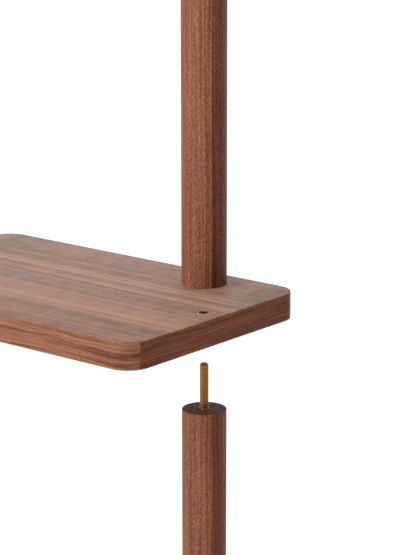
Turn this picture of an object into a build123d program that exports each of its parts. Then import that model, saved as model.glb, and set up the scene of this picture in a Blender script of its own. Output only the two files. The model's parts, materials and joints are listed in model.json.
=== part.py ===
from build123d import *
from math import cos, radians, sin
import os

# A small wall shelf. A veneered board slides onto a steel wall bar with two rods, hidden in its back edge.
# A line of round wooden posts passes it near one back corner: the stud of the lower post goes up through
# a brass bush in the board and screws into the post that stands on the board, which clamps the board.
#
# Frame: +Z up, +X along the wall to the right, +Y into the wall. The origin is on the wall, at the centre
# of the wall bar's back face, level with the middle of the board. The lower post is drawn unscrewed.

# --- Driving dimensions, in millimetres ---

# Board
board_length = 265
board_depth = 168
board_thickness = 18
corner_radius = 16
veneer_thickness = 0.6
band_thickness = 0.8
eased_edge = 0.4
# The end bands meet the long bands this far round each corner, in degrees from the end's own normal.
band_seam_angle = 22.5

# Posts, each with a stud in its top end and a threaded insert in its bottom end
post_diameter = 30
post_length = 250
post_from_end = 59.5
post_from_back = 26.5
post_end_chamfer = 0.4
post_gap = 68.5

# M6 stud: a metric thread above the post's end and a wood thread below it
thread_radius = 2.95
stud_reach = 31.5
stud_chamfer = 0.8
shoulder_radius = 3.25
shoulder_height = 0.6
wood_thread_radius = 3.0
wood_thread_length = 26
wood_thread_point = 4

# M6 insert in the post's bottom end
threaded_bore_radius = 3.05
insert_radius = 4.5
insert_length = 15
insert_hole_length = 19
drive_slot_width = 1.2
drive_slot_depth = 1.6

# Brass bushes through the board
bush_radius = 3.9
bush_bore_radius = 3.05
bush_chamfer = 0.2
# A seat in the bush's lower mouth takes the shoulder of the stud
bush_seat_radius = 3.4
bush_seat_depth = 0.8
end_hole_from_end = 12.8

# Wall bar and its two rods
bar_length = 224
bar_height = 12
bar_thickness = 4
bar_corner_radius = 2
rod_spacing = 200
rod_radius = 5
rod_length = 110
rod_chamfer = 1
rod_spigot_radius = 3
wall_screw_spacing = 120
wall_screw_radius = 2.6
wall_screw_head_radius = 5.1

# Room for the bar and the rods in the board
groove_side_room = 0.5
groove_depth_room = 0.2
rod_bore_room = 0.06
rod_end_room = 3

# --- Worked out from the driving dimensions ---

core_thickness = board_thickness - 2 * veneer_thickness
board_top = board_thickness / 2
board_bottom = -board_thickness / 2
core_bottom = -core_thickness / 2
core_length = board_length - 2 * band_thickness
core_depth = board_depth - 2 * band_thickness
core_radius = corner_radius - band_thickness
board_middle = (0, -board_depth / 2)
post_spot = (board_length / 2 - post_from_end, -post_from_back)
end_hole_spot = (board_length / 2 - end_hole_from_end, -board_depth / 2)
lower_post_top = board_bottom - post_gap
groove_depth = bar_thickness + groove_depth_room

os.makedirs("parts", exist_ok=True)


def save(builder, name):
    """Labels a finished piece and writes it as its own STEP file."""
    builder.part.label = name
    export_step(builder.part, f"parts/{name}.step")


# --- Board ---

# Outline of the groove for the wall bar, on the wall's face
with BuildSketch(Plane.XZ) as groove:
    Rectangle(bar_length + 2 * groove_side_room, bar_height + 2 * groove_side_room)

with BuildPart() as shelf_core:
    with BuildSketch(Plane.XY.offset(core_bottom)):
        with Locations(board_middle):
            RectangleRounded(core_length, core_depth, core_radius)
        with Locations(post_spot, end_hole_spot):
            Circle(bush_radius, mode=Mode.SUBTRACT)
    extrude(amount=core_thickness)
    extrude(groove.sketch, amount=groove_depth, mode=Mode.SUBTRACT)
    # Blind bores for the rods, from the bottom of the groove
    with BuildSketch(Plane.XZ.offset(groove_depth)):
        with GridLocations(rod_spacing, 0, 2, 1):
            Circle(rod_radius + rod_bore_room)
    extrude(amount=rod_length - groove_depth_room + rod_end_room, mode=Mode.SUBTRACT)
save(shelf_core, "shelf_core")


def face_veneer(name, bottom, outer_side):
    """One face veneer of the board, as wide as the board, with its outer edge eased."""
    with BuildPart() as sheet:
        with BuildSketch(Plane.XY.offset(bottom)):
            with Locations(board_middle):
                RectangleRounded(board_length, board_depth, corner_radius)
        extrude(amount=veneer_thickness)
        outline = sheet.faces().sort_by(Axis.Z)[outer_side].outer_wire().edges()
        fillet(outline, eased_edge)
        with BuildSketch(Plane.XY.offset(bottom)):
            with Locations(post_spot, end_hole_spot):
                Circle(bush_radius)
        extrude(amount=veneer_thickness, mode=Mode.SUBTRACT)
    save(sheet, name)


face_veneer("shelf_top_veneer", board_top - veneer_thickness, -1)
face_veneer("shelf_bottom_veneer", board_bottom, 0)


def corner_centre(side, end):
    """Centre of a corner's round. Side is 1 at the right, -1 at the left; end is 1 behind, -1 in front."""
    return (
        side * (board_length / 2 - corner_radius),
        -board_depth / 2 + end * (board_depth / 2 - corner_radius),
    )


def beyond_seam(side, end):
    """A point outside the board, out from a corner's centre through the seam between two bands."""
    x, y = corner_centre(side, end)
    reach = 3 * corner_radius
    angle = radians(band_seam_angle)
    return (x + side * reach * cos(angle), y + end * reach * sin(angle))


def edge_band(name, stretch, grooved=False):
    """One edge band: the part of the board's rim inside the stretch's outline, with the groove or not."""
    with BuildPart() as band:
        with BuildSketch(Plane.XY.offset(core_bottom)):
            with Locations(board_middle):
                RectangleRounded(board_length, board_depth, corner_radius)
                RectangleRounded(core_length, core_depth, core_radius, mode=Mode.SUBTRACT)
            with BuildLine():
                Polyline(*stretch, close=True)
            make_face(mode=Mode.INTERSECT)
        extrude(amount=core_thickness)
        if grooved:
            extrude(groove.sketch, amount=groove_depth, mode=Mode.SUBTRACT)
    save(band, name)


for end, name in ((-1, "edge_band_front"), (1, "edge_band_back")):
    far = -board_depth / 2 + end * board_depth
    edge_band(
        name,
        [
            corner_centre(-1, end),
            beyond_seam(-1, end),
            (-board_length, far),
            (board_length, far),
            beyond_seam(1, end),
            corner_centre(1, end),
        ],
        grooved=end == 1,
    )
for side, name in ((1, "edge_band_right"), (-1, "edge_band_left")):
    edge_band(
        name,
        [corner_centre(side, -1), beyond_seam(side, -1), beyond_seam(side, 1), corner_centre(side, 1)],
    )

# Two brass bushes, flush with both faces of the board
for name, spot in (("post_hole_bush", post_spot), ("end_hole_bush", end_hole_spot)):
    with BuildPart() as bush:
        with BuildSketch(Plane.XY.offset(board_bottom)):
            with Locations(spot):
                Circle(bush_radius)
                Circle(bush_bore_radius, mode=Mode.SUBTRACT)
        extrude(amount=board_thickness)
        with BuildSketch(Plane.XY.offset(board_bottom)):
            with Locations(spot):
                Circle(bush_seat_radius)
        extrude(amount=bush_seat_depth, mode=Mode.SUBTRACT)
        upper_mouth = bush.edges().group_by(Axis.Z)[-1].sort_by(SortBy.RADIUS)[0]
        chamfer(upper_mouth, bush_chamfer)
    save(bush, name)

# --- Wall bar and rods ---

with BuildPart() as wall_bar:
    with BuildSketch(Plane.XZ):
        RectangleRounded(bar_length, bar_height, bar_corner_radius)
        with GridLocations(rod_spacing, 0, 2, 1):
            Circle(rod_spigot_radius, mode=Mode.SUBTRACT)
    extrude(amount=bar_thickness)
    # Countersunk from the front, for the screws into the wall
    with Locations(Plane.XZ.offset(bar_thickness)):
        with GridLocations(wall_screw_spacing, 0, 2, 1):
            CounterSinkHole(wall_screw_radius, wall_screw_head_radius)
save(wall_bar, "wall_bar")

for side, name in ((-1, "wall_rod_left"), (1, "wall_rod_right")):
    rod_line = Plane((side * rod_spacing / 2, 0, 0), x_dir=(1, 0, 0), z_dir=(0, -1, 0))
    with BuildPart() as rod:
        # The spigot fills its hole in the bar and is riveted flush at the back
        with BuildSketch(rod_line):
            Circle(rod_spigot_radius)
        extrude(amount=bar_thickness)
        with BuildSketch(rod_line.offset(bar_thickness)):
            Circle(rod_radius)
        extrude(amount=rod_length)
        chamfer(rod.faces().sort_by(Axis.Y)[0].edges(), rod_chamfer)
    save(rod, name)

# --- Posts ---


def post(name, bottom):
    """A round post with its insert and stud, standing with its bottom end at the given height."""
    top = bottom + post_length
    x, y = post_spot
    bottom_end = Plane((x, y, bottom))
    top_end = Plane((x, y, top))
    half_section = Plane((x, y, 0), x_dir=(1, 0, 0), z_dir=(0, -1, 0))
    wood_thread_start = top - wood_thread_length

    with BuildPart() as shaft:
        with BuildSketch(bottom_end):
            Circle(post_diameter / 2)
        extrude(amount=post_length)
        chamfer(shaft.edges().filter_by(GeomType.CIRCLE), post_end_chamfer)
        with BuildSketch(bottom_end):
            Circle(insert_radius)
        extrude(amount=insert_hole_length, mode=Mode.SUBTRACT)
        with BuildSketch(top_end):
            Circle(wood_thread_radius)
        extrude(amount=-wood_thread_length, mode=Mode.SUBTRACT)
    save(shaft, name)

    with BuildPart() as insert:
        with BuildSketch(bottom_end):
            Circle(insert_radius)
            Circle(threaded_bore_radius, mode=Mode.SUBTRACT)
        extrude(amount=insert_length)
        # A slot across the mouth, for the driver that screws the insert into the wood
        with BuildSketch(bottom_end):
            Rectangle(2 * insert_radius, drive_slot_width)
        extrude(amount=drive_slot_depth, mode=Mode.SUBTRACT)
    save(insert, f"{name}_insert")

    with BuildPart() as stud:
        with BuildSketch(half_section):
            with BuildLine():
                Polyline(
                    (0, wood_thread_start),
                    (wood_thread_radius, wood_thread_start + wood_thread_point),
                    (wood_thread_radius, top),
                    (shoulder_radius, top),
                    (shoulder_radius, top + shoulder_height),
                    (thread_radius, top + shoulder_height),
                    (thread_radius, top + stud_reach - stud_chamfer),
                    (thread_radius - stud_chamfer, top + stud_reach),
                    (0, top + stud_reach),
                    close=True,
                )
            make_face()
        revolve(axis=Axis((x, y, 0), (0, 0, 1)))
    save(stud, f"{name}_stud")


post("upper_post", board_top)
post("lower_post", lower_post_top - post_length)
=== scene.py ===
"""The looks of a small wall shelf: a walnut-veneered board on a hidden wall bar, and two round posts.

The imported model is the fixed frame. Each piece is modelled in the space of the node that it stands for
and rides on that node's body. Sizes are in metres, +Z is up, +X runs along the wall and +Y goes into it.
"""

import json
import logging
import math
from collections.abc import Callable, Iterator
from contextlib import contextmanager
from dataclasses import dataclass, field
from enum import Enum

import bmesh
import bpy
from mathutils import Euler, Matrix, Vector

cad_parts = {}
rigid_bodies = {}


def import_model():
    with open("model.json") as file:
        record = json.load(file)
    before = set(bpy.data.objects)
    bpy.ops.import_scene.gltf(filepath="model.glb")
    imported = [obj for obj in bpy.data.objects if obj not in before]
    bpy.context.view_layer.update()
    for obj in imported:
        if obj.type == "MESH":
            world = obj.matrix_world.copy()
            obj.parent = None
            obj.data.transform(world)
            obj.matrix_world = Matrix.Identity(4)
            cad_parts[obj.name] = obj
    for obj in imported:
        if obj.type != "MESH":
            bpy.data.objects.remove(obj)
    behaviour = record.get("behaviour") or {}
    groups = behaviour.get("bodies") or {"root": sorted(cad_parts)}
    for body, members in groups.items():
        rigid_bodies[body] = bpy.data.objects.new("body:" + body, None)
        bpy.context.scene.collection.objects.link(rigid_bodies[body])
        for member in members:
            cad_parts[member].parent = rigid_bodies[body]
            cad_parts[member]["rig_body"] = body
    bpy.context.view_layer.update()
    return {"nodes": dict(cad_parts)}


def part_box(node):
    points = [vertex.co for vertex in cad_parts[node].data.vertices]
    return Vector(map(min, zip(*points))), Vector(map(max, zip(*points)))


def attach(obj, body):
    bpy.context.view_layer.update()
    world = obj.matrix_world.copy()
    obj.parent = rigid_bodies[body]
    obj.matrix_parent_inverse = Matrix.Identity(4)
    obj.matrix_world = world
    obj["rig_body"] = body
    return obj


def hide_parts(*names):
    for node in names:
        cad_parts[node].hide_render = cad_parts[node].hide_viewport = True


Colour = tuple[float, float, float]
Point = tuple[float, float, float]
Socket = bpy.types.NodeSocket

MM = 0.001
# Two heights closer than this are the same.
HAIR = 0.00001
# Vertices closer than this are one.
TOUCHING = 1e-7
# A face lies level if its normal's Z is above this.
LEVEL = 0.9
# A pattern this large doesn't change in that direction.
ENDLESS = 1e6
BRASS_DARK: Colour = (0.42, 0.27, 0.085)
BRASS_LIGHT: Colour = (0.62, 0.44, 0.18)
STUD_DARK: Colour = (0.30, 0.140, 0.040)
STUD_LIGHT: Colour = (0.37, 0.178, 0.055)
FRAME_NODES: dict[str, bpy.types.Object] = {}
log = logging.getLogger("shelf")


class Grain(Enum):
    """The way the grain of a piece of wood runs, as the turn that lays its X axis along the grain."""

    ALONG_SHELF = (0.0, 0.0, 0.0)
    ALONG_END = (0.0, 0.0, math.pi / 2)
    UPRIGHT = (0.0, math.pi / 2, 0.0)


class Cut(Enum):
    """What a second solid does to a piece."""

    REMOVE = "DIFFERENCE"
    KEEP_INSIDE = "INTERSECT"
    ADD = "UNION"


def centre(node: str) -> Vector:
    """The middle of a CAD node's box."""
    low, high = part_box(node)
    return (low + high) / 2


def dimmed(colour: Colour, share: float) -> Colour:
    """A darker version of a colour."""
    return tuple(share * part for part in colour)


# --- Bench: shaping a piece with the operators one would use by hand ---


class Piece:
    """A mesh on the bench, from its first primitive to its finish."""

    def __init__(self, name: str) -> None:
        """Takes over the primitive that was just added, with its place moved into its mesh.

        Args:
            name: The piece's name.
        """
        self.obj: bpy.types.Object = bpy.context.object
        self.obj.name = name
        self.obj.data.name = name
        self.settle()

    @classmethod
    def cylinder(cls, name: str, radius: float, low: Point, length: float, sides: int = 96) -> "Piece":
        """Starts from an upright cylinder.

        Args:
            name: The piece's name.
            radius: The cylinder's radius.
            low: The middle of its lower end.
            length: Its height.
            sides: The number of its sides.

        Returns:
            The new piece.
        """
        bpy.ops.object.select_all(action="DESELECT")
        middle = (low[0], low[1], low[2] + length / 2)
        bpy.ops.mesh.primitive_cylinder_add(vertices=sides, radius=radius, depth=length, location=middle)
        return cls(name)

    @classmethod
    def block(cls, name: str, low: Vector, high: Vector) -> "Piece":
        """Starts from a box between two corners.

        Args:
            name: The piece's name.
            low: The box's lowest corner.
            high: The box's highest corner.

        Returns:
            The new piece.
        """
        bpy.ops.object.select_all(action="DESELECT")
        bpy.ops.mesh.primitive_cube_add(size=1, location=(low + high) / 2, scale=high - low)
        return cls(name)

    @classmethod
    def rounded_plate(cls, name: str, low: Vector, high: Vector, radius: float, steps: int = 20) -> "Piece":
        """Starts from a flat rectangle with round corners and gives it its thickness.

        Args:
            name: The piece's name.
            low: The plate's lowest corner.
            high: The plate's highest corner.
            radius: The radius of its four upright corners.
            steps: The number of segments in each corner.

        Returns:
            The new piece.
        """
        bpy.ops.object.select_all(action="DESELECT")
        middle = ((low.x + high.x) / 2, (low.y + high.y) / 2, low.z)
        bpy.ops.mesh.primitive_plane_add(size=1, location=middle)
        bpy.context.object.scale = (high.x - low.x, high.y - low.y, 1)
        plate = cls(name)
        with plate.shaping():
            bpy.ops.mesh.select_all(action="SELECT")
            bpy.ops.mesh.bevel(offset=radius, segments=steps, affect="VERTICES", clamp_overlap=False)
            bpy.ops.mesh.select_all(action="SELECT")
            plate.extrude((0, 0, high.z - low.z))
        plate.face_outward()
        return plate

    def take_up(self) -> None:
        """Selects the piece and nothing else, and makes it active."""
        bpy.ops.object.select_all(action="DESELECT")
        self.obj.select_set(True)
        bpy.context.view_layer.objects.active = self.obj

    def settle(self) -> None:
        """Moves the object's place, turn and size into its mesh."""
        self.take_up()
        bpy.ops.object.transform_apply(location=True, rotation=True, scale=True)

    @contextmanager
    def shaping(self) -> Iterator[None]:
        """Opens the piece in edit mode with nothing selected, and closes it again.

        Yields:
            Nothing: the block's operators act on the piece.
        """
        self.take_up()
        bpy.ops.object.mode_set(mode="EDIT")
        bpy.ops.mesh.select_mode(type="VERT")
        bpy.ops.mesh.select_all(action="DESELECT")
        yield
        bpy.ops.object.mode_set(mode="OBJECT")

    def pick_faces(self, test: Callable[[Vector, Vector], bool]) -> None:
        """Selects the faces that pass a test and nothing else.

        Args:
            test: Takes a face's middle and its normal.
        """
        bpy.ops.mesh.select_mode(type="FACE")
        bpy.ops.mesh.select_all(action="DESELECT")
        mesh = bmesh.from_edit_mesh(self.obj.data)
        for face in mesh.faces:
            face.select_set(test(face.calc_center_median(), face.normal))
        bmesh.update_edit_mesh(self.obj.data)

    def pick_edges(self, test: Callable[[Vector, Vector], bool]) -> None:
        """Selects the edges that pass a test and nothing else.

        Args:
            test: Takes an edge's two ends.
        """
        bpy.ops.mesh.select_mode(type="EDGE")
        bpy.ops.mesh.select_all(action="DESELECT")
        mesh = bmesh.from_edit_mesh(self.obj.data)
        for edge in mesh.edges:
            edge.select_set(test(edge.verts[0].co, edge.verts[1].co))
        bmesh.update_edit_mesh(self.obj.data)

    def pick_end(self, height: float) -> None:
        """Selects the flat faces at one height."""
        self.pick_faces(lambda middle, normal: abs(middle.z - height) < HAIR and abs(normal.z) > LEVEL)

    def pick_rim(self, height: float) -> None:
        """Selects the edges that lie at one height."""
        self.pick_edges(lambda a, b: abs(a.z - height) < HAIR and abs(b.z - height) < HAIR)

    def extrude(self, move: Point) -> None:
        """Extrudes what is selected."""
        bpy.ops.mesh.extrude_region_move(TRANSFORM_OT_translate={"value": move})

    def inset(self, width: float) -> None:
        """Insets the selected faces."""
        bpy.ops.mesh.inset(thickness=width)

    def round_edges(self, width: float, steps: int = 3) -> None:
        """Bevels the selected edges."""
        bpy.ops.mesh.bevel(offset=width, segments=steps, affect="EDGES", clamp_overlap=False)

    def face_outward(self) -> None:
        """Merges doubled vertices and turns every face outward."""
        with self.shaping():
            bpy.ops.mesh.select_all(action="SELECT")
            bpy.ops.mesh.remove_doubles(threshold=TOUCHING)
            bpy.ops.mesh.select_all(action="SELECT")
            bpy.ops.mesh.normals_make_consistent(inside=False)

    def trim(self, point: Vector, normal: Vector) -> None:
        """Cuts off what lies beyond a plane and closes the cut.

        Args:
            point: A point on the plane.
            normal: The plane's normal, which points at what is cut off.
        """
        with self.shaping():
            bpy.ops.mesh.select_all(action="SELECT")
            bpy.ops.mesh.bisect(plane_co=point, plane_no=normal, use_fill=True, clear_outer=True,
                                threshold=TOUCHING)

    def apply_modifier(self, kind: str, **settings: object) -> None:
        """Adds a modifier and applies it.

        Args:
            kind: The modifier's type.
            settings: Its properties.
        """
        self.take_up()
        modifier = self.obj.modifiers.new(kind.lower(), kind)
        for name, value in settings.items():
            setattr(modifier, name, value)
        bpy.ops.object.modifier_apply(modifier=modifier.name)

    def combine(self, other: "Piece", how: Cut) -> None:
        """Cuts the piece with another solid, or joins them, and throws the other away."""
        self.apply_modifier("BOOLEAN", operation=how.value, object=other.obj, solver="EXACT")
        other.discard()

    def discard(self) -> None:
        """Removes the piece from the scene."""
        bpy.data.objects.remove(self.obj)

    def copy(self, name: str, move: Vector | Point = (0, 0, 0)) -> "Piece":
        """Copies the piece with its own mesh.

        Args:
            name: The copy's name.
            move: How far the copy is moved.

        Returns:
            The copy.
        """
        self.take_up()
        bpy.ops.object.duplicate(linked=False)
        bpy.context.object.location = move
        return Piece(name)

    def finish(self, material: bpy.types.Material, node: str, slot: str, smooth: float = 30) -> None:
        """Dresses the piece and puts it in the place of its CAD node.

        Args:
            material: The piece's finish, unless it already has its own materials.
            node: The CAD node that the piece stands for.
            slot: The record's material slot; not used.
            smooth: Edges sharper than this angle, in degrees, stay sharp.
        """
        self.face_outward()
        bpy.ops.object.shade_smooth_by_angle(angle=math.radians(smooth))
        if not self.obj.data.materials:
            self.obj.data.materials.append(material)
        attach(self.obj, FRAME_NODES[node]["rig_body"])
        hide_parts(node)
        log.info("%s: %d faces, stands for %s", self.obj.name, len(self.obj.data.polygons), node)


@dataclass(frozen=True)
class Thread:
    """A screw thread: a trapezium, from its root out to its crest and back, wound round an upright axis."""

    crest: float
    root: float
    pitch: float
    crest_share: float = 0.125
    root_share: float = 0.25
    steps: int = 48

    def rod(self, name: str, axis: Vector, bottom: float, top: float) -> Piece:
        """Winds a closed threaded rod, flat at both ends. Equal pitches on one axis are always in step.

        Args:
            name: The piece's name.
            axis: A point on the rod's axis.
            bottom: The height of the lower end.
            top: The height of the upper end.

        Returns:
            The rod.
        """
        bpy.ops.object.select_all(action="DESELECT")
        bpy.ops.mesh.primitive_plane_add(size=self.pitch)
        rod = Piece(name)
        start = (math.floor(bottom / self.pitch) - 2) * self.pitch
        depth = self.crest - self.root
        flank = self.pitch * (1 - self.crest_share - self.root_share) / 2
        outline = (
            (depth, 0, flank),
            (0, 0, self.pitch * self.crest_share),
            (-depth, 0, flank),
            (0, 0, self.pitch * self.root_share),
        )
        with rod.shaping():
            bpy.ops.mesh.select_all(action="SELECT")
            bpy.ops.mesh.merge(type="CENTER")
            bpy.ops.transform.translate(value=(self.root, 0, start))
            for move in outline:
                rod.extrude(move)
        rod.apply_modifier(
            "SCREW",
            axis="Z",
            angle=math.tau,
            screw_offset=self.pitch,
            iterations=math.ceil((top - start) / self.pitch) + 2,
            steps=self.steps,
            render_steps=self.steps,
        )
        with rod.shaping():
            bpy.ops.mesh.select_all(action="SELECT")
            bpy.ops.mesh.remove_doubles(threshold=10 * TOUCHING)
        rod.trim(Vector((0, 0, bottom)), Vector((0, 0, -1)))
        rod.trim(Vector((0, 0, top)), Vector((0, 0, 1)))
        rod.obj.location = (axis.x, axis.y, 0)
        rod.settle()
        rod.face_outward()
        return rod


# --- Finishes ---


class Graph:
    """A material's node graph, built by short calls that each add one node."""

    def __init__(self, name: str) -> None:
        """Makes an empty material.

        Args:
            name: The material's name.
        """
        self.material = bpy.data.materials.new(name)
        self.material.use_nodes = True
        self.tree = self.material.node_tree
        self.shader = self.tree.nodes["Principled BSDF"]
        self.place = self.tree.nodes.new("ShaderNodeTexCoord").outputs["Object"]

    def add(self, kind: str, inputs: dict, output: str | int = 0, **settings: object) -> Socket:
        """Adds a node.

        Args:
            kind: The node's type, without its ShaderNode prefix.
            inputs: Values or sockets for its inputs, by name or number.
            output: Which output to return.
            settings: The node's properties.

        Returns:
            The output socket.
        """
        node = self.tree.nodes.new("ShaderNode" + kind)
        for name, value in settings.items():
            setattr(node, name, value)
        for name, value in inputs.items():
            self.feed(node.inputs[name], value)
        return node.outputs[output]

    def feed(self, socket: Socket, value: object) -> None:
        """Links an input to a socket, or sets its value.

        Args:
            socket: The input.
            value: A socket or a plain value.
        """
        if isinstance(value, Socket):
            self.tree.links.new(value, socket)
        else:
            socket.default_value = value

    def laid_out(self, middle: Point, turn: Point) -> Socket:
        """Coordinates in metres, centred on a point and turned."""
        inputs = {"Vector": self.place, "Location": middle, "Rotation": Euler(turn)}
        return self.add("Mapping", inputs, vector_type="TEXTURE")

    def sized(self, place: Socket, size: Point, shift: Point = (0, 0, 0)) -> Socket:
        """Coordinates in units of a feature's size."""
        inputs = {"Vector": place, "Location": shift, "Scale": size}
        return self.add("Mapping", inputs, vector_type="TEXTURE")

    def noise(self, place: Socket, size: Point, detail: float = 2, shift: Point = (0, 0, 0),
              output: str = "Fac") -> Socket:
        """Noise with features of a given size.

        Args:
            place: The coordinates in metres.
            size: The features' size along each axis.
            detail: How many finer layers it has.
            shift: Where the pattern starts.
            output: Fac or Color.

        Returns:
            The noise, about 0.5 on average.
        """
        place = self.sized(place, size, shift)
        inputs = {"Vector": place, "Scale": 1.0, "Detail": detail, "Roughness": 0.55}
        return self.add("TexNoise", inputs, output)

    def fade(self, value: Socket, low: float, high: float, start: float = 0.0,
             end: float = 1.0) -> Socket:
        """A smooth step between two values."""
        inputs = {0: value, 1: low, 2: high, 3: start, 4: end}
        return self.add("MapRange", inputs, interpolation_type="SMOOTHSTEP")

    def math(self, operation: str, first: object, second: object = 0.0) -> Socket:
        """A sum, product or other operation on one or two numbers."""
        return self.add("Math", {0: first, 1: second}, operation=operation)

    def multiply_add(self, value: object, factor: float, addend: object) -> Socket:
        """A number times a factor, plus another number."""
        return self.add("Math", {0: value, 1: factor, 2: addend}, operation="MULTIPLY_ADD")

    def distance(self, place: Socket) -> Socket:
        """How far a place is from the origin."""
        return self.add("VectorMath", {0: place}, 1, operation="LENGTH")

    def weighted(self, *terms: tuple[Socket, float]) -> Socket:
        """A sum of noises, each taken about its mean and weighted, about 0.5.

        Args:
            terms: Each noise with its weight.

        Returns:
            The sum.
        """
        total = 0.5 - 0.5 * sum(weight for _, weight in terms)
        for value, weight in terms:
            total = self.multiply_add(value, weight, total)
        return total

    def tones(self, value: Socket, *stops: tuple[float, Colour]) -> Socket:
        """A colour ramp.

        Args:
            value: What picks the colour.
            stops: Places on the ramp and their colours.

        Returns:
            The colour.
        """
        socket = self.add("ValToRGB", {"Fac": value}, "Color")
        elements = socket.node.color_ramp.elements
        while len(elements) < len(stops):
            elements.new(0.5)
        for element, (position, colour) in zip(elements, stops):
            element.position = position
            element.color = (*colour, 1)
        return socket

    def blend(self, factor: object, first: object, second: object, mode: str = "MIX") -> Socket:
        """Mixes two colours.

        Args:
            factor: How much of the second.
            first: The first colour.
            second: The second colour.
            mode: The blend type.

        Returns:
            The mixed colour.
        """
        first, second = ((*part, 1) if isinstance(part, tuple) else part for part in (first, second))
        inputs = {"Factor": factor, 6: first, 7: second}
        return self.add("Mix", inputs, 2, data_type="RGBA", blend_type=mode)

    def split(self, place: Socket) -> list[Socket]:
        """Takes some coordinates apart."""
        return list(self.add("SeparateXYZ", {0: place}).node.outputs)

    def bump(self, height: Socket, distance: float, strength: float = 1.0) -> None:
        """Raises the surface by a pattern."""
        inputs = {"Height": height, "Distance": distance, "Strength": strength}
        self.shade("Normal", self.add("Bump", inputs))

    def shade(self, name: str, value: object) -> None:
        """Sets or links one of the shader's inputs."""
        self.feed(self.shader.inputs[name], (*value, 1) if isinstance(value, tuple) else value)


@dataclass(frozen=True)
class Finish:
    """A finish. Each kind paints a material's graph in its own way."""

    name: str

    def build(self) -> bpy.types.Material:
        """Makes the material.

        Returns:
            The material.
        """
        graph = Graph(self.name)
        self.paint(graph)
        return graph.material

    def paint(self, graph: Graph) -> None:
        """Lays out the finish."""
        raise NotImplementedError


@dataclass(frozen=True)
class Tones:
    """The three tones of a piece of walnut, in linear light."""

    dark: Colour
    mean: Colour
    light: Colour


FACE_TONES = Tones((0.084, 0.022, 0.006), (0.187, 0.075, 0.039), (0.33, 0.152, 0.083))
PALE_BAND_TONES = Tones((0.075, 0.026, 0.015), (0.164, 0.068, 0.037), (0.228, 0.102, 0.058))
DEEP_BAND_TONES = Tones((0.048, 0.013, 0.006), (0.102, 0.032, 0.017), (0.152, 0.051, 0.026))
POST_TONES = Tones((0.071, 0.022, 0.012), (0.158, 0.061, 0.033), (0.243, 0.108, 0.064))


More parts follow.
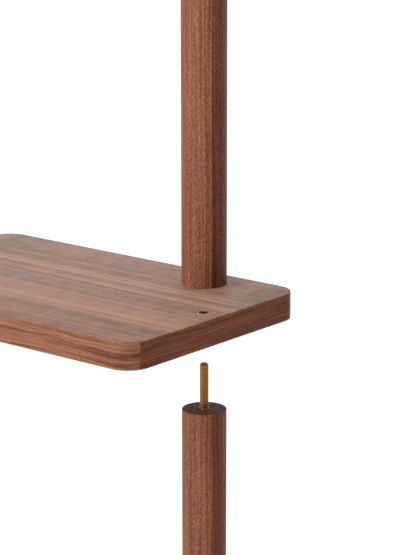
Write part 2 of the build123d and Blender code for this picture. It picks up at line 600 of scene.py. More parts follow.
@dataclass(frozen=True)
class Walnut(Finish):
    """Walnut under a satin lacquer: broad streaks, growth lines, fine fibres and open pores.

    In a thin veneer or band the pattern hardly changes through the thickness, so depth is stretched there.
    """

    grain: Grain
    middle: Point
    tones: Tones
    start: float = 0.0
    length: float = 330 * MM
    streak_width: float = 17 * MM
    stripe_width: float = 4.5 * MM
    line_width: float = 1.5 * MM
    fibre_width: float = 0.5 * MM
    grit_width: float = 0.9 * MM
    depth_stretch: tuple[float, float] = (1.0, 1.0)
    streak: float = 1.0
    stripe: float = 1.0
    line: float = 0.9
    fibre: float = 0.45
    vein: float = 0.4
    speckle: float = 0.3
    wave: float = 5 * MM
    pores: float = 0.35
    pore_length: float = 6 * MM
    fleck: float = 0.0
    fleck_tint: Colour = (1.3, 0.92, 0.62)
    roughness: float = 0.5
    gloss: float = 0.06
    veil: float = 0.0
    wear: float = 0.25
    wear_from: float = 1.0
    wear_to: float = 2.0
    stave_turn: float | None = None
    stave_tone: Colour = (1.0, 1.0, 1.0)
    sap_turn: float | None = None
    sap_width: float = 0.8 * MM
    seam_blur: float = 0.08 * MM
    # Patches of painted shade, each a middle and a half size, and the tint that darkens and greys them
    painted_shade_patches: tuple[tuple[Point, Point], ...] = ()
    painted_shade_tint: Colour = (0.60, 0.66, 0.74)
    relief: float = 0.04 * MM

    def paint(self, graph: Graph) -> None:
        """Lays out the finish.

        Args:
            graph: The material's graph.
        """
        place = graph.laid_out(self.middle, self.grain.value)
        bent = self.bend(graph, place)
        streak = self.layer(graph, bent, 1.0, self.streak_width)
        stripe = self.layer(graph, bent, 0.8, self.stripe_width)
        line = self.layer(graph, bent, 0.5, self.line_width)
        fibre = self.layer(graph, bent, 0.12, self.fibre_width)
        grit = self.layer(graph, bent, 0.008, self.grit_width)
        tone = graph.weighted((streak, self.streak), (stripe, self.stripe), (line, self.line),
                              (fibre, self.fibre), (grit, self.speckle))
        dark, mean, light = self.tones.dark, self.tones.mean, self.tones.light
        colour = graph.tones(tone, (0.18, dark), (0.5, mean), (0.84, light))
        vein = self.layer(graph, bent, 0.7, self.line_width * 1.3, detail=1, shift=3.3)
        colour = graph.blend(graph.fade(vein, 0.3, 0.44, start=self.vein, end=0.0), colour, dark)
        pore = self.find_pores(graph, bent)
        colour = graph.blend(graph.math("MULTIPLY", pore, self.pores), colour, dark)
        fleck = graph.noise(bent, (1.8 * MM, 0.8 * MM, 0.8 * MM), detail=1, shift=(4, 0, 0))
        fleck = graph.fade(fleck, 0.5, 0.62, start=0.0, end=self.fleck)
        colour = graph.blend(fleck, colour, self.fleck_tint, "MULTIPLY")
        colour = self.stain_and_painted_light(graph, colour)
        wear = self.find_wear(graph)
        colour = graph.blend(graph.math("MULTIPLY", wear, self.wear), colour, light)
        graph.shade("Base Color", colour)
        rubbed = graph.noise(place, (60 * MM, 60 * MM, 60 * MM), 3)
        rough = graph.weighted((fibre, 0.5), (rubbed, 0.7))
        rough = graph.fade(rough, 0.3, 0.7, start=self.roughness - 0.05, end=self.roughness + 0.07)
        graph.shade("Roughness", graph.math("ADD", rough, graph.math("MULTIPLY", wear, -0.06)))
        graph.shade("Specular IOR Level", self.gloss)
        graph.shade("Sheen Weight", self.veil)
        graph.shade("Sheen Roughness", 0.6)
        height = graph.multiply_add(pore, -1.0, graph.math("MULTIPLY", fibre, 0.5))
        graph.bump(height, self.relief, 0.6)

    def layer(self, graph: Graph, place: Socket, share: float, width: float, detail: float = 2,
              shift: float = 0.0) -> Socket:
        """One layer of streaks along the grain.

        Args:
            graph: The material's graph.
            place: Coordinates with X along the grain.
            share: The streaks' length, as a share of the longest.
            width: The streaks' width.
            detail: How many finer layers they have.
            shift: Where the pattern starts, beside the material's own start.

        Returns:
            The noise.
        """
        begin = self.start + shift
        across, deep = self.depth_stretch
        size = (self.length * share, width * across, width * deep)
        return graph.noise(place, size, detail, (begin, begin * 0.7, begin * 0.3))

    def bend(self, graph: Graph, place: Socket) -> Socket:
        """Bends the straight grain a little, in long waves.

        Args:
            graph: The material's graph.
            place: Coordinates with X along the grain.

        Returns:
            The bent coordinates.
        """
        across, deep = self.depth_stretch
        size = (self.length * 0.35, self.streak_width * 2.5 * across, self.streak_width * 2.5 * deep)
        wander = graph.noise(place, size, 1, (self.start, 0, 0), "Color")
        reach = (0, self.wave, self.wave)
        return graph.add("VectorMath", {0: wander, 1: reach, 2: place}, operation="MULTIPLY_ADD")

    def find_pores(self, graph: Graph, place: Socket) -> Socket:
        """Short dark pores along the grain, thicker in some bands than in others.

        Args:
            graph: The material's graph.
            place: Coordinates with X along the grain.

        Returns:
            The pores, from 0 to 1.
        """
        dash = graph.noise(place, (self.pore_length, 0.4 * MM, 0.4 * MM), 1, (self.start, 0, 0))
        band = graph.noise(place, (self.length, 5 * MM, 5 * MM), 1)
        return graph.fade(graph.weighted((dash, 1.0), (band, 0.35)), 0.56, 0.68)

    def find_wear(self, graph: Graph) -> Socket:
        """The rubbed rim beside the piece's eased edges, broken up by noise.

        Args:
            graph: The material's graph.

        Returns:
            The wear, from 0 to 1.
        """
        far = graph.math("ABSOLUTE", graph.split(graph.laid_out(self.middle, (0, 0, 0)))[2])
        patchy = graph.noise(graph.place, (12 * MM, 12 * MM, 4 * MM), 2)
        rim = graph.fade(far, self.wear_from, self.wear_to)
        return graph.math("MULTIPLY", rim, graph.fade(patchy, 0.35, 0.65, start=0.3, end=1.0))

    def stain_and_painted_light(self, graph: Graph, colour: Socket) -> Socket:
        """Adds the darker second stave, with painted light on its far side, the pale sap line and patches
        of painted shade.

        Args:
            graph: The material's graph.
            colour: The wood's colour so far.

        Returns:
            The new colour.
        """
        if self.sap_turn is not None:
            out, across, _ = graph.split(graph.laid_out(self.middle, (0, 0, self.sap_turn)))
            near = graph.fade(graph.math("ABSOLUTE", across), 0.0, self.sap_width, start=0.4, end=0.0)
            near = graph.math("MULTIPLY", near, graph.fade(out, 0.0, MM))
            colour = graph.blend(near, colour, self.tones.light)
        if self.stave_turn is not None:
            across = graph.split(graph.laid_out(self.middle, (0, 0, self.stave_turn)))[1]
            side = graph.fade(across, -self.seam_blur, self.seam_blur)
            # Painted light: the dark stave grows lighter towards the post's right side, as though lit from
            # behind on the right
            painted_far_light = graph.fade(across, 2 * MM, 11 * MM, start=1.0, end=0.75)
            side = graph.math("MULTIPLY", side, painted_far_light)
            colour = graph.blend(side, colour, self.stave_tone, "MULTIPLY")
        # Painted shade: soft, ragged patches that are darker and greyer than the wood round them
        for middle, size in self.painted_shade_patches:
            spot = graph.sized(graph.place, size, middle)
            cloud = graph.noise(graph.place, (25 * MM, 8 * MM, 8 * MM))
            ragged = graph.weighted((graph.distance(spot), 1.0), (cloud, 0.5))
            soft = graph.fade(ragged, 0.7, 1.1, start=0.9, end=0.0)
            colour = graph.blend(soft, colour, self.painted_shade_tint, "MULTIPLY")
        return colour


@dataclass(frozen=True)
class EndGrain(Finish):
    """The sawn end of a walnut post: dark, with faint growth rings and open pores."""

    middle: Point
    dark: Colour = (0.038, 0.018, 0.013)
    light: Colour = (0.090, 0.044, 0.032)
    heart: Point = (55 * MM, 40 * MM, 0)
    ring_pitch: float = 2.4 * MM
    ring_wander: float = 3 * MM
    # Painted shade and reflection of the stud round the hole, with its inner and outer radius in
    # millimetres
    painted_stud_shade: Colour = (0.045, 0.008, 0.003)
    painted_stud_shade_from: float = 3.4
    painted_stud_shade_to: float = 5.2

    def paint(self, graph: Graph) -> None:
        """Lays out the finish.

        Args:
            graph: The material's graph.
        """
        place = graph.laid_out(self.middle, (0, 0, 0))
        heart = graph.sized(place, (1.0, 1.0, 1.0), self.heart)
        wander = graph.noise(place, (15 * MM, 15 * MM, 15 * MM), 2)
        reach = graph.multiply_add(wander, self.ring_wander, graph.distance(heart))
        rings = graph.math("SINE", graph.math("MULTIPLY", reach, math.tau / self.ring_pitch))
        cells = graph.add("TexVoronoi", {"Vector": graph.sized(place, (MM, MM, MM)), "Scale": 2.2},
                          "Distance")
        pore = graph.fade(cells, 0.12, 0.3, start=1.0, end=0.0)
        fine = graph.noise(place, (0.5 * MM, 0.5 * MM, 5 * MM), 2)
        tone = graph.weighted((rings, 0.14), (fine, 0.9), (wander, 0.6))
        colour = graph.tones(tone, (0.1, self.dark), (0.75, self.light))
        colour = graph.blend(graph.math("MULTIPLY", pore, 0.6), colour, self.dark)
        off_axis = graph.distance(graph.sized(place, (MM, MM, ENDLESS * MM)))
        # Painted shade: the wood round the stud's hole is darkened
        stud_shade_mask = graph.fade(off_axis, self.painted_stud_shade_from, self.painted_stud_shade_to, start=0.45, end=0.0)
        colour = graph.blend(stud_shade_mask, colour, self.painted_stud_shade)
        graph.shade("Base Color", colour)
        graph.shade("Roughness", graph.fade(fine, 0.3, 0.7, start=0.55, end=0.75))
        graph.shade("Specular IOR Level", 0.07)
        graph.bump(graph.math("SUBTRACT", fine, pore), 0.05 * MM, 0.5)


@dataclass(frozen=True)
class TurnedMetal(Finish):
    """Metal turned on a lathe: fine rings round an upright axis, with painted shade that darkens and dulls
    the roots of a thread and a bore.
    """

    middle: Point
    dark: Colour
    light: Colour
    root: float = 0.0
    crest: float = 1e-6
    # How strong the painted shade is in a thread's roots and in a bore
    root_shade: float = 0.0
    roughness: float = 0.3
    ring: float = 0.14 * MM
    tip: float = 1e3
    hollow_shade_share: float = 0.04
    tip_share: float = 0.6

    def paint(self, graph: Graph) -> None:
        """Lays out the finish.

        Args:
            graph: The material's graph.
        """
        place = graph.laid_out(self.middle, (0, 0, 0))
        rings = graph.noise(place, (30 * MM, 30 * MM, self.ring), 2)
        cloud = graph.noise(place, (5 * MM, 5 * MM, 7 * MM), 3)
        tone = graph.weighted((rings, 0.5), (cloud, 1.0))
        colour = graph.tones(tone, (0.25, self.dark), (0.75, self.light))
        off_axis = graph.distance(graph.sized(place, (1.0, 1.0, ENDLESS)))
        # Painted shade: inside the root radius the metal is darkened and made less metallic
        hollow_painted_shade = graph.fade(off_axis, self.root, self.crest, start=self.root_shade, end=0.0)
        colour = graph.blend(hollow_painted_shade, colour, dimmed(self.dark, self.hollow_shade_share))
        height = graph.split(place)[2]
        cut_end = graph.fade(height, self.tip - 0.06 * MM, self.tip - 0.02 * MM, start=0.0, end=0.85)
        colour = graph.blend(cut_end, colour, dimmed(self.dark, self.tip_share))
        graph.shade("Base Color", colour)
        graph.shade("Metallic", graph.math("SUBTRACT", 1.0, graph.math("MAXIMUM", hollow_painted_shade, cut_end)))
        graph.shade("Specular IOR Level", 0.0)
        speck = graph.noise(place, (0.6 * MM, 0.6 * MM, 0.6 * MM), 2)
        rough = graph.weighted((speck, 0.6), (cloud, 0.4))
        rough = graph.fade(rough, 0.25, 0.75, start=self.roughness - 0.08, end=self.roughness + 0.1)
        graph.shade("Roughness", rough)
        graph.bump(rings, 0.01 * MM, 0.4)


@dataclass(frozen=True)
class ZincedSteel(Finish):
    """Zinc-plated bright steel: pale bluish grey, brushed along its length and rubbed at its edges."""

    brushed: Point
    dark: Colour = (0.36, 0.38, 0.40)
    light: Colour = (0.62, 0.64, 0.66)

    def paint(self, graph: Graph) -> None:
        """Lays out the finish.

        Args:
            graph: The material's graph.
        """
        brush = graph.noise(graph.place, self.brushed, 3)
        cloud = graph.noise(graph.place, (9 * MM, 9 * MM, 9 * MM), 3)
        tone = graph.weighted((brush, 0.8), (cloud, 0.9))
        graph.shade("Base Color", graph.tones(tone, (0.2, self.dark), (0.8, self.light)))
        graph.shade("Metallic", 1.0)
        graph.shade("Roughness", graph.fade(tone, 0.2, 0.8, start=0.3, end=0.48))
        graph.bump(brush, 0.015 * MM, 0.5)


@dataclass(frozen=True)
class Fibreboard(Finish):
    """The board's core: pressed brown fibre, matt, with pale and dark flecks."""

    dark: Colour = (0.15, 0.085, 0.045)
    light: Colour = (0.36, 0.24, 0.14)

    def paint(self, graph: Graph) -> None:
        """Lays out the finish.

        Args:
            graph: The material's graph.
        """
        fluff = graph.noise(graph.place, (1.1 * MM, 1.1 * MM, 0.4 * MM), 3)
        fleck = graph.noise(graph.place, (3 * MM, 0.5 * MM, 0.3 * MM), 1)
        layer = graph.noise(graph.place, (80 * MM, 80 * MM, 2 * MM), 2)
        tone = graph.weighted((fluff, 1.0), (fleck, 0.8), (layer, 0.7))
        graph.shade("Base Color", graph.tones(tone, (0.2, self.dark), (0.8, self.light)))
        graph.shade("Roughness", graph.fade(fluff, 0.3, 0.7, start=0.82, end=0.95))
        graph.shade("Specular IOR Level", 0.2)
        graph.bump(tone, 0.06 * MM, 0.7)


# --- The board ---


@dataclass
class Board:
    """The shelf board: a fibreboard core, two face veneers, four edge bands and two brass bushes."""

    corner_radius: float = 16 * MM
    eased_edge: float = 0.4 * MM
    band_thickness: float = 0.8 * MM
    seam_angle: float = math.radians(22.5)
    glue_line: float = 0.04 * MM
    sharp_angle: float = math.radians(40)
    bush_edge: float = 0.06 * MM
    bush_bore: float = 3.05 * MM
    bush_seat: float = 3.4 * MM
    bush_seat_depth: float = 0.8 * MM
    bush_chamfer: float = 0.2 * MM
    groove_room: float = 0.5 * MM
    groove_depth_room: float = 0.2 * MM
    low: Vector = field(init=False)
    high: Vector = field(init=False)
    middle: Point = field(init=False)

    def __post_init__(self) -> None:
        """Reads the board's size from the frame."""
        self.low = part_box("shelf_bottom_veneer")[0]
        self.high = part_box("shelf_top_veneer")[1]
        self.middle = tuple((self.low + self.high) / 2)

    def build(self) -> None:
        """Builds and dresses every piece of the board."""
        self.dress_core()
        self.build_veneers()
        self.build_bands()
        self.build_bushes()

    def dress_core(self) -> None:
        """Gives the core its fibreboard. Its shape is the frame's own."""
        FRAME_NODES["shelf_core"].data.materials[0] = Fibreboard("fibreboard").build()

    def build_veneers(self) -> None:
        """Builds the two face veneers."""
        flat = self.high.z - self.eased_edge
        # The top veneer carries two patches of painted shade
        for node, outer, start, painted_shade_patches in (
            ("shelf_top_veneer", 1, 3.1, self.painted_shade_patches()),
            ("shelf_bottom_veneer", -1, 7.7, ()),
        ):
            finish = Walnut(f"walnut_{node}", Grain.ALONG_SHELF, self.middle, FACE_TONES, start=start,
                            depth_stretch=(1.0, 20.0), wave=3 * MM, length=900 * MM, streak_width=14 * MM,
                            stripe_width=4 * MM, line_width=1.0 * MM, streak=1.2, stripe=1.0, line=1.2,
                            speckle=0.1, pores=0.2, roughness=0.6, gloss=0.25, veil=0.1,
                            wear_from=flat, wear_to=self.high.z, painted_shade_patches=painted_shade_patches)
            self.veneer(node, outer).finish(finish.build(), node, "walnut_face")

    def painted_shade_patches(self) -> tuple[tuple[Point, Point], ...]:
        """Two patches of painted shade on the top veneer, towards the back corners.

        Returns:
            Each patch's middle and its half size.
        """
        back, top = self.high.y, self.high.z
        return (
            ((self.low.x + 31 * MM, back - 14 * MM, top), (19 * MM, 42 * MM, 20 * MM)),
            ((self.high.x - 6 * MM, back - 22 * MM, top), (17 * MM, 48 * MM, 20 * MM)),
        )

    def veneer(self, node: str, outer: int) -> Piece:
        """Cuts one face veneer, with its outer edge eased and its two holes drilled.

        Args:
            node: The CAD node it stands for.
            outer: 1 if its upper face shows and -1 if its lower one does.

        Returns:
            The veneer.
        """
        low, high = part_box(node)
        sheet = Piece.rounded_plate(node.replace("shelf_", "") + "_sheet", low, high, self.corner_radius)
        with sheet.shaping():
            sheet.pick_rim(high.z if outer > 0 else low.z)
            sheet.round_edges(self.eased_edge, steps=4)
        for bush in ("post_hole_bush", "end_hole_bush"):
            bush_low, bush_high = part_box(bush)
            spot = centre(bush)
            radius = (bush_high.x - bush_low.x) / 2
            drill = Piece.cylinder("drill", radius, (spot.x, spot.y, low.z - MM), high.z - low.z + 2 * MM)
            sheet.combine(drill, Cut.REMOVE)
        return sheet

    def build_bands(self) -> None:
        """Builds the four edge bands from one rim, cut at the seams."""
        low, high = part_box("edge_band_front")
        low = Vector((self.low.x, self.low.y, low.z))
        high = Vector((self.high.x, self.high.y, high.z))
        rim = Piece.rounded_plate("rim", low, high, self.corner_radius)
        with rim.shaping():
            rim.pick_faces(lambda middle, normal: abs(normal.z) > LEVEL)
            bpy.ops.mesh.delete(type="FACE")
        rim.apply_modifier("SOLIDIFY", thickness=self.band_thickness, offset=-1, use_even_offset=True)
        for node, grain, tones, slot, start in (
            ("edge_band_front", Grain.ALONG_SHELF, PALE_BAND_TONES, "walnut_edge", 1.3),
            ("edge_band_back", Grain.ALONG_SHELF, PALE_BAND_TONES, "walnut_edge", 5.9),
            ("edge_band_right", Grain.ALONG_END, DEEP_BAND_TONES, "walnut_edge_dark", 2.2),
            ("edge_band_left", Grain.ALONG_END, DEEP_BAND_TONES, "walnut_edge_dark", 8.4),
        ):
            band = self.band(rim, node)
            finish = Walnut(f"walnut_{node}", grain, self.middle, tones, start=start,
                            length=110 * MM, streak_width=5 * MM, stripe_width=1.6 * MM,
                            line_width=0.6 * MM, depth_stretch=(20.0, 1.0), wave=4 * MM, line=1.2,
                            vein=0.6, speckle=0.2, fleck=0.3, wear_from=high.z - 0.5 * MM,
                            wear_to=high.z)
            band.finish(finish.build(), node, slot)
        rim.discard()

    def corner(self, side: int, end: int) -> Vector:
        """The centre of one corner's round.

        Args:
            side: 1 at the right and -1 at the left.
            end: 1 at the back and -1 at the front.

        Returns:
            The centre, on the board's middle plane.
        """
        reach_x = (self.high.x - self.low.x) / 2 - self.corner_radius
        reach_y = (self.high.y - self.low.y) / 2 - self.corner_radius
        return Vector((self.middle[0] + side * reach_x, self.middle[1] + end * reach_y, self.middle[2]))

    def band(self, rim: Piece, node: str) -> Piece:
        """Cuts one edge band out of the rim, at the seams on the board's corners.

        Args:
            rim: The whole rim.
            node: The CAD node that the band stands for.

        Returns:
            The band.
        """
        band = rim.copy(node + "_strip")
        side = {"edge_band_right": 1, "edge_band_left": -1}.get(node, 0)
        end = {"edge_band_back": 1, "edge_band_front": -1}.get(node, 0)
        across, out = math.sin(self.seam_angle), math.cos(self.seam_angle)
        for way in (-1, 1):
            if side:
                band.trim(self.corner(side, way), Vector((-side * across, way * out, 0)))
            else:
                band.trim(self.corner(way, end), Vector((way * across, -end * out, 0)))
        band.face_outward()
        if node == "edge_band_back":
            self.cut_groove(band)
        band.apply_modifier("BEVEL", width=self.glue_line, segments=2, limit_method="ANGLE",
                            angle_limit=self.sharp_angle)
        return band

    def cut_groove(self, band: Piece) -> None:
        """Opens the back band for the wall bar.

        Args:
            band: The back edge band.
        """
        bar_low, bar_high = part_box("wall_bar")
        room = Vector((self.groove_room, 0, self.groove_room))
        deep = Vector((0, self.groove_depth_room, 0))
        cutter = Piece.block("groove", bar_low - room - deep, bar_high + room + 2 * deep)
        band.combine(cutter, Cut.REMOVE)

    def build_bushes(self) -> None:
        """Turns one brass bush and copies it to the second hole."""
        low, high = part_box("end_hole_bush")
        first = self.bush("end_bush_ring", low, high)
        post_low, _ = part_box("post_hole_bush")
        second = first.copy("post_bush_ring", post_low - low)
        for bush, node in ((first, "end_hole_bush"), (second, "post_hole_bush")):
            # Painted shade darkens the bore's wall almost to black
            finish = TurnedMetal(f"brass_{node}", tuple(centre(node)), BRASS_DARK, BRASS_LIGHT,
                                 root=3.06 * MM, crest=3.12 * MM, root_shade=0.98)
            bush.finish(finish.build(), node, "brass")

    def bush(self, name: str, low: Vector, high: Vector) -> Piece:
        """Turns one bush: a through bore with a chamfered upper mouth and a seat in the lower one.

        Args:
            name: The piece's name.
            low: The lowest corner of its box.
            high: The highest corner of its box.

        Returns:
            The bush.
        """
        radius = (high.x - low.x) / 2
        x, y, _ = (low + high) / 2
        ring = Piece.cylinder(name, radius, (x, y, low.z), high.z - low.z)
        floor = low.z + self.bush_seat_depth
        with ring.shaping():
            ring.pick_rim(high.z)
            ring.round_edges(self.bush_edge, steps=2)
            ring.pick_end(high.z)
            ring.inset(radius - self.bush_edge - self.bush_bore - self.bush_chamfer)
            ring.inset(self.bush_chamfer)
            bpy.ops.transform.translate(value=(0, 0, -self.bush_chamfer))
            ring.pick_rim(low.z)
            ring.round_edges(self.bush_edge, steps=2)
            ring.pick_end(low.z)
            ring.inset(radius - self.bush_edge - self.bush_seat)
            ring.extrude((0, 0, self.bush_seat_depth))
            ring.inset(self.bush_seat - self.bush_bore)
            mouth = high.z - self.bush_chamfer
            axis = Vector((x, y, 0))
            ring.pick_faces(lambda middle, normal: self.is_bore_end(middle, axis, (floor, mouth)))
            bpy.ops.mesh.bridge_edge_loops()
        return ring

    @staticmethod
    def is_bore_end(middle: Vector, axis: Vector, heights: tuple[float, float]) -> bool:
        """Whether a face closes one end of the bore."""
        on_axis = math.hypot(middle.x - axis.x, middle.y - axis.y) < 0.5 * MM
        return on_axis and min(abs(middle.z - height) for height in heights) < HAIR


# --- Wall bar and rods ---


@dataclass
class WallBracket:
    """The hidden bracket: a flat steel bar on the wall with two rods that the board slides onto."""

    corner_radius: float = 2 * MM
    spigot_radius: float = 3 * MM
    screw_radius: float = 2.6 * MM
    head_radius: float = 5.1 * MM
    screw_spacing: float = 120 * MM
    broken_edge: float = 0.25 * MM
    rod_chamfer: float = 1 * MM
    sides: int = 64
    nodes: tuple[str, str] = ("wall_rod_left", "wall_rod_right")

    def build(self) -> None:
        """Builds and dresses the bar and the rods."""
        bar_finish = ZincedSteel("zinced_bar", (60 * MM, 2 * MM, 0.25 * MM)).build()
        self.bar().finish(bar_finish, "wall_bar", "bracket_steel")
        rod_finish = ZincedSteel("zinced_rod", (3 * MM, 0.4 * MM, 3 * MM)).build()
        left = self.rod(self.nodes[0])
        right = left.copy("right_rod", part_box(self.nodes[1])[0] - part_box(self.nodes[0])[0])
        left.finish(rod_finish, self.nodes[0], "bracket_steel")
        right.finish(rod_finish, self.nodes[1], "bracket_steel")

    def bar(self) -> Piece:
        """Cuts the bar, rounds its corners, and drills it for the rods and the wall screws.

        Returns:
            The bar.
        """
        low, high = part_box("wall_bar")
        bar = Piece.block("bar", low, high)
        with bar.shaping():
            bar.pick_edges(lambda a, b: abs(a.y - b.y) > HAIR)
            bar.round_edges(self.corner_radius, steps=8)
            for face in (low.y, high.y):
                bar.pick_edges(lambda a, b: abs(a.y - face) < HAIR and abs(b.y - face) < HAIR)
                bar.round_edges(self.broken_edge, steps=2)
        bar.face_outward()
        thickness = high.y - low.y
        for node in self.nodes:
            bar.combine(self.drill(centre(node), self.spigot_radius, low.y - MM, high.y + MM), Cut.REMOVE)
        for side in (-1, 1):
            spot = Vector((side * self.screw_spacing / 2, 0, (low.z + high.z) / 2))
            bar.combine(self.drill(spot, self.screw_radius, low.y - MM, high.y + MM), Cut.REMOVE)
            bar.combine(self.countersink(spot, low.y, thickness), Cut.REMOVE)
        return bar

    def drill(self, spot: Vector, radius: float, front: float, back: float) -> Piece:
        """A drill along Y.

        Args:
            spot: A point on its axis.
            radius: Its radius.
            front: The Y of its front end.
            back: The Y of its back end.

        Returns:
            The drill.
        """
        bpy.ops.object.select_all(action="DESELECT")
        bpy.ops.mesh.primitive_cylinder_add(vertices=self.sides, radius=radius, depth=back - front,
                                            location=(spot.x, (front + back) / 2, spot.z),
                                            rotation=(math.pi / 2, 0, 0))
        return Piece("drill")

    def countersink(self, spot: Vector, face: float, thickness: float) -> Piece:
        """A countersinking cone that opens towards the front of the bar.

        Args:
            spot: A point on its axis.
            face: The Y of the bar's front face.
            thickness: The bar's thickness.

        Returns:
            The cone.
        """
        depth = min(self.head_radius, thickness + MM)
        proud = 0.1 * MM
        bpy.ops.object.select_all(action="DESELECT")
        bpy.ops.mesh.primitive_cone_add(vertices=self.sides, radius1=self.head_radius + proud,
                                        radius2=self.head_radius - depth, depth=depth + proud,
                                        location=(spot.x, face + (depth - proud) / 2, spot.z),
                                        rotation=(-math.pi / 2, 0, 0))
        return Piece("countersink")

    def rod(self, node: str) -> Piece:
        """Turns one rod with the spigot that is riveted into the bar.

        Args:
            node: The CAD node it stands for.

        Returns:
            The rod, along Y.
        """
        low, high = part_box(node)
        radius = (high.z - low.z) / 2
        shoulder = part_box("wall_bar")[0].y
        rod = self.drill(centre(node), radius, low.y, shoulder)
        rod.obj.name = "left_rod"
        with rod.shaping():
            rod.pick_edges(lambda a, b: abs(a.y - low.y) < HAIR and abs(b.y - low.y) < HAIR)
            rod.round_edges(self.rod_chamfer, steps=1)
            rod.pick_faces(lambda middle, normal: abs(middle.y - shoulder) < HAIR)
            rod.inset(radius - self.spigot_radius)
            rod.extrude((0, high.y - shoulder - self.broken_edge, 0))
            rod.inset(self.broken_edge)
            bpy.ops.transform.translate(value=(0, self.broken_edge, 0))
        return rod


# --- Posts ---


@dataclass
class PostLine:
    """The two round posts, each with a brass stud in its top end and a brass insert in its bottom one."""

    eased_end: float = 0.4 * MM
    stave_seam: float = math.radians(-30.5)
    sap_seam: float = math.radians(-107)
    stud_hole: float = 3 * MM
    insert_hole_depth: float = 19 * MM
    shoulder_radius: float = 3.25 * MM
    shoulder_height: float = 0.6 * MM
    shoulder_edge: float = 0.18 * MM
    tip_chamfer: float = 0.8 * MM
    wood_point: float = 4 * MM
    spare: float = 0.25 * MM
    running_room: float = 0.1 * MM
    tap_widening: float = 0.02
    slot_width: float = 1.2 * MM
    slot_depth: float = 1.6 * MM
    stud_thread: Thread = Thread(2.95 * MM, 2.45 * MM, pitch=1 * MM, crest_share=0.36, root_share=0.14)
    wood_thread: Thread = Thread(3 * MM, 2.1 * MM, pitch=2.5 * MM, crest_share=0.06, root_share=0.45,
                                 steps=40)
    knife_thread: Thread = Thread(4.5 * MM, 3.7 * MM, pitch=2.5 * MM, crest_share=0.06, root_share=0.4)
    nodes: tuple[str, str] = ("upper_post", "lower_post")
    spot: Vector = field(init=False)

    def __post_init__(self) -> None:
        """Reads the posts' axis from the frame."""
        self.spot = centre(self.nodes[0])

    def build(self) -> None:
        """Builds and dresses both posts with their studs and inserts. The upper ones are copied down."""
        upper, lower = self.nodes
        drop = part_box(lower)[0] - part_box(upper)[0]
        models = {
            "": (self.post("upper_shaft"), "lower_shaft"),
            "_stud": (self.stud("upper_stud"), "lower_stud"),
            "_insert": (self.insert("upper_insert"), "lower_insert"),
        }
        for part, (model, copy_name) in models.items():
            for node, piece in ((upper + part, model), (lower + part, model.copy(copy_name, drop))):
                self.dress(piece, node, part)

    def dress(self, piece: Piece, node: str, part: str) -> None:
        """Gives one piece of a post its finish.

        Args:
            piece: The piece.
            node: The CAD node it stands for.
            part: Empty for the wooden post, or the ending of its stud's or insert's name.
        """
        low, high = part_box(node)
        middle = tuple((low + high) / 2)
        if part == "":
            self.dress_wood(piece, node, middle, (high.z - low.z) / 2)
            return
        spot = (self.spot.x, self.spot.y, 0.0)
        if part == "_stud":
            # Painted shade darkens the thread's roots
            finish = TurnedMetal(f"brass_{node}", spot, STUD_DARK, STUD_LIGHT, root=self.stud_thread.root,
                                 crest=self.stud_thread.crest, root_shade=0.35, tip=high.z)
        else:
            finish = TurnedMetal(f"brass_{node}", spot, BRASS_DARK, BRASS_LIGHT)
        piece.finish(finish.build(), node, "brass")

    def dress_wood(self, piece: Piece, node: str, middle: Point, half: float) -> None:
        """Gives a wooden post its long-grain walnut, with end grain on its two ends.

        Args:
            piece: The post.
            node: The CAD node it stands for.
            middle: The post's middle.
            half: Half its length.
        """
        start = 11.0 if node == "upper_post" else 17.0
        wood = Walnut(
            f"walnut_{node}", Grain.UPRIGHT, middle, POST_TONES, start=start, length=200 * MM,
            streak_width=6 * MM, stripe_width=2.2 * MM, line_width=1.0 * MM, wave=1.5 * MM,
            streak=0.5, stripe=0.6, line=0.8, vein=0.3, speckle=1.0, pores=0.5, pore_length=2.5 * MM,
            fleck=0.7, gloss=0.09, wear_from=half - self.eased_end, wear_to=half,
            stave_turn=self.stave_seam, stave_tone=(0.56, 0.44, 0.43), sap_turn=self.sap_seam,
        ).build()
        piece.obj.data.materials.append(wood)
        piece.obj.data.materials.append(EndGrain(f"end_grain_{node}", middle).build())
        low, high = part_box(node)
        with piece.shaping():
            piece.pick_faces(
                lambda at, normal: abs(normal.z) > LEVEL and not low.z + MM < at.z < high.z - MM
            )
            piece.obj.active_material_index = 1
            bpy.ops.object.material_slot_assign()
        piece.finish(wood, node, "walnut_post")

    def post(self, name: str) -> Piece:
        """Turns the upper post, with the holes for its stud and its insert.

        Args:
            name: The piece's name.

        Returns:
            The post.
        """
        low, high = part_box("upper_post")
        insert_low, insert_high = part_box("upper_post_insert")
        radius = (high.x - low.x) / 2
        insert_radius = (insert_high.x - insert_low.x) / 2
        stud_depth = high.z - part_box("upper_post_stud")[0].z
        foot = (self.spot.x, self.spot.y, low.z)
        post = Piece.cylinder(name, radius, foot, high.z - low.z, sides=160)
        with post.shaping():
            for end, hole, depth in (
                (high.z, self.stud_hole, -stud_depth),
                (low.z, insert_radius, self.insert_hole_depth),
            ):
                post.pick_rim(end)
                post.round_edges(self.eased_end, steps=4)
                post.pick_end(end)
                post.inset(radius - self.eased_end - hole)
                post.extrude((0, 0, depth))
        return post

    def stud(self, name: str) -> Piece:
        """Makes the upper post's stud: a wood thread with a point, a shoulder and a machine thread.

        Args:
            name: The piece's name.

        Returns:
            The stud.
        """
        low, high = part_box("upper_post_stud")
        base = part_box("upper_post")[1].z
        machine = self.stud_thread.rod(name, self.spot, base + self.shoulder_height / 2, high.z)
        machine.combine(self.blank(base, high.z, self.tip_chamfer), Cut.KEEP_INSIDE)
        wood = self.wood_thread.rod("wood_thread", self.spot, low.z, base + self.shoulder_height / 4)
        wood.combine(self.pointed_blank(low.z, base + self.shoulder_height), Cut.KEEP_INSIDE)
        machine.combine(self.shoulder(base), Cut.ADD)
        machine.combine(wood, Cut.ADD)
        return machine

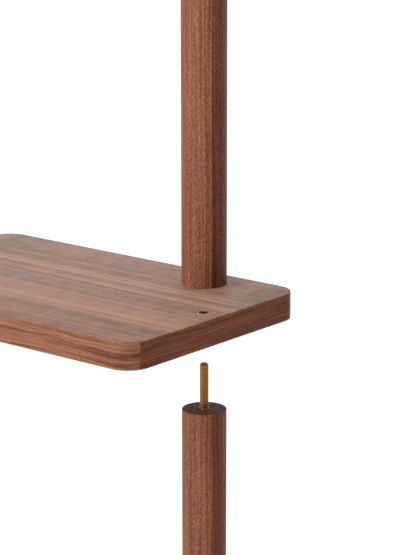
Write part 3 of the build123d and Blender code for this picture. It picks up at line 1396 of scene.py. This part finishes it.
    def blank(self, bottom: float, top: float, chamfer: float) -> Piece:
        """A round blank, wider than the thread, whose top is turned down to the thread's chamfer.

        Args:
            bottom: The height of its lower end.
            top: The height of its upper end.
            chamfer: The chamfer on the thread.

        Returns:
            The blank.
        """
        radius = self.stud_thread.crest + self.spare
        blank = Piece.cylinder("blank", radius, (self.spot.x, self.spot.y, bottom), top - bottom)
        with blank.shaping():
            blank.pick_rim(top)
            blank.round_edges(chamfer + self.spare, steps=1)
        blank.face_outward()
        return blank

    def pointed_blank(self, bottom: float, top: float) -> Piece:
        """A round blank, wider than the wood thread, that comes to a point at its lower end.

        Args:
            bottom: The height of its point.
            top: The height of its upper end.

        Returns:
            The blank.
        """
        radius = self.wood_thread.crest + self.spare
        taper = self.wood_point * radius / self.wood_thread.crest
        blank = Piece.cylinder("blank", radius, (self.spot.x, self.spot.y, bottom + taper),
                               top - bottom - taper)
        tip = 0.3 * MM
        with blank.shaping():
            blank.pick_end(bottom + taper)
            blank.extrude((0, 0, -taper))
            bpy.ops.transform.resize(value=(tip / radius, tip / radius, 1),
                                     center_override=(self.spot.x, self.spot.y, bottom))
        blank.face_outward()
        return blank

    def shoulder(self, base: float) -> Piece:
        """Turns the shoulder that stops the stud on the post's end.

        Args:
            base: The height of the post's end.

        Returns:
            The shoulder.
        """
        overlap = 1.5 * MM
        collar = Piece.cylinder("collar", self.shoulder_radius, (self.spot.x, self.spot.y, base),
                                self.shoulder_height)
        with collar.shaping():
            collar.pick_rim(base + self.shoulder_height)
            collar.round_edges(self.shoulder_edge)
            collar.pick_end(base)
            collar.inset(self.shoulder_radius - self.wood_thread.root)
            collar.extrude((0, 0, -overlap))
        collar.face_outward()
        return collar

    def insert(self, name: str) -> Piece:
        """Makes the upper post's insert, threaded outside and inside, with a driver's slot.

        Args:
            name: The piece's name.

        Returns:
            The insert.
        """
        low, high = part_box("upper_post_insert")
        body = self.knife_thread.rod(name, self.spot, low.z, high.z)
        room = self.running_room
        stud = self.stud_thread
        tap = Thread(stud.crest + room, stud.root + room, stud.pitch, stud.crest_share + self.tap_widening,
                     stud.root_share)
        body.combine(tap.rod("tap", self.spot, low.z - 2 * MM, high.z + 2 * MM), Cut.REMOVE)
        reach = Vector((self.knife_thread.crest + MM, self.slot_width / 2, 0))
        middle = Vector((self.spot.x, self.spot.y, low.z))
        saw_low = middle - reach - Vector((0, 0, MM))
        saw_high = middle + reach + Vector((0, 0, self.slot_depth))
        saw = Piece.block("saw", saw_low, saw_high)
        body.combine(saw, Cut.REMOVE)
        return body


# --- Studio ---


@dataclass
class Studio:
    """A pale floor far below, an even white surround, one broad soft key light and the camera."""

    azimuth: float = math.radians(39.17)
    pitch: float = math.radians(14.36)
    lens: float = 141.13
    stand_off: Point = (0.8197, -0.9336, 0.3594)
    floor_drop: float = 8.0
    floor_size: float = 160.0
    floor_mottle: Point = (0.4, 0.4, 0.4)
    floor_dark: Colour = (0.90, 0.90, 0.90)
    floor_light: Colour = (0.93, 0.93, 0.93)
    clip_end: float = 400.0
    surround: float = 1.1
    key_strength: float = 3.5
    key_azimuth: float = math.radians(-111)
    key_height: float = math.radians(10)
    key_spread: float = math.radians(50)

    def build(self) -> None:
        """Sets up the camera, the lights, the surround and the floor."""
        self.set_camera()
        self.set_surround()
        self.set_key()
        self.lay_floor()

    def set_camera(self) -> None:
        """Places the camera off the board's front right corner."""
        data = bpy.data.cameras.new("camera")
        data.lens = self.lens
        data.clip_end = self.clip_end
        camera = bpy.data.objects.new("camera", data)
        bpy.context.scene.collection.objects.link(camera)
        low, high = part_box("shelf_top_veneer")
        camera.location = Vector((high.x, low.y, high.z)) + Vector(self.stand_off)
        camera.rotation_euler = (math.pi / 2 - self.pitch, 0, self.azimuth)
        bpy.context.scene.camera = camera

    def set_surround(self) -> None:
        """Lights the scene evenly from all round, and keeps colours as they are."""
        world = bpy.data.worlds.new("surround")
        bpy.context.scene.world = world
        world.use_nodes = True
        world.node_tree.nodes["Background"].inputs["Color"].default_value = (1, 1, 1, 1)
        world.node_tree.nodes["Background"].inputs["Strength"].default_value = self.surround
        bpy.context.scene.view_settings.view_transform = "Standard"
        bpy.context.scene.view_settings.look = "None"

    def set_key(self) -> None:
        """Hangs the broad key light in front of the shelf."""
        data = bpy.data.lights.new("key", "SUN")
        data.energy = self.key_strength
        data.angle = self.key_spread
        light = bpy.data.objects.new("key", data)
        bpy.context.scene.collection.objects.link(light)
        flat = math.cos(self.key_height)
        towards = Vector((math.cos(self.key_azimuth) * flat, math.sin(self.key_azimuth) * flat,
                          math.sin(self.key_height)))
        light.rotation_euler = towards.to_track_quat("Z", "Y").to_euler()

    def lay_floor(self) -> None:
        """Lays the pale floor well below the posts."""
        bpy.ops.object.select_all(action="DESELECT")
        bpy.ops.mesh.primitive_plane_add(size=self.floor_size, location=(0, 0, -self.floor_drop))
        floor = Piece("floor")
        graph = Graph("pale_floor")
        mottle = graph.noise(graph.place, self.floor_mottle, 3)
        graph.shade("Base Color", graph.tones(mottle, (0.2, self.floor_dark), (0.8, self.floor_light)))
        graph.shade("Roughness", graph.fade(mottle, 0.3, 0.7, start=0.7, end=0.8))
        floor.obj.data.materials.append(graph.material)


def main() -> None:
    logging.basicConfig(level=logging.INFO, format="%(name)s: %(message)s")
    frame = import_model()
    FRAME_NODES.update(frame["nodes"])
    for part in (Studio(), Board(), WallBracket(), PostLine()):
        part.build()
        log.info("%s is built", type(part).__name__)


if __name__ == "__main__":
    main()
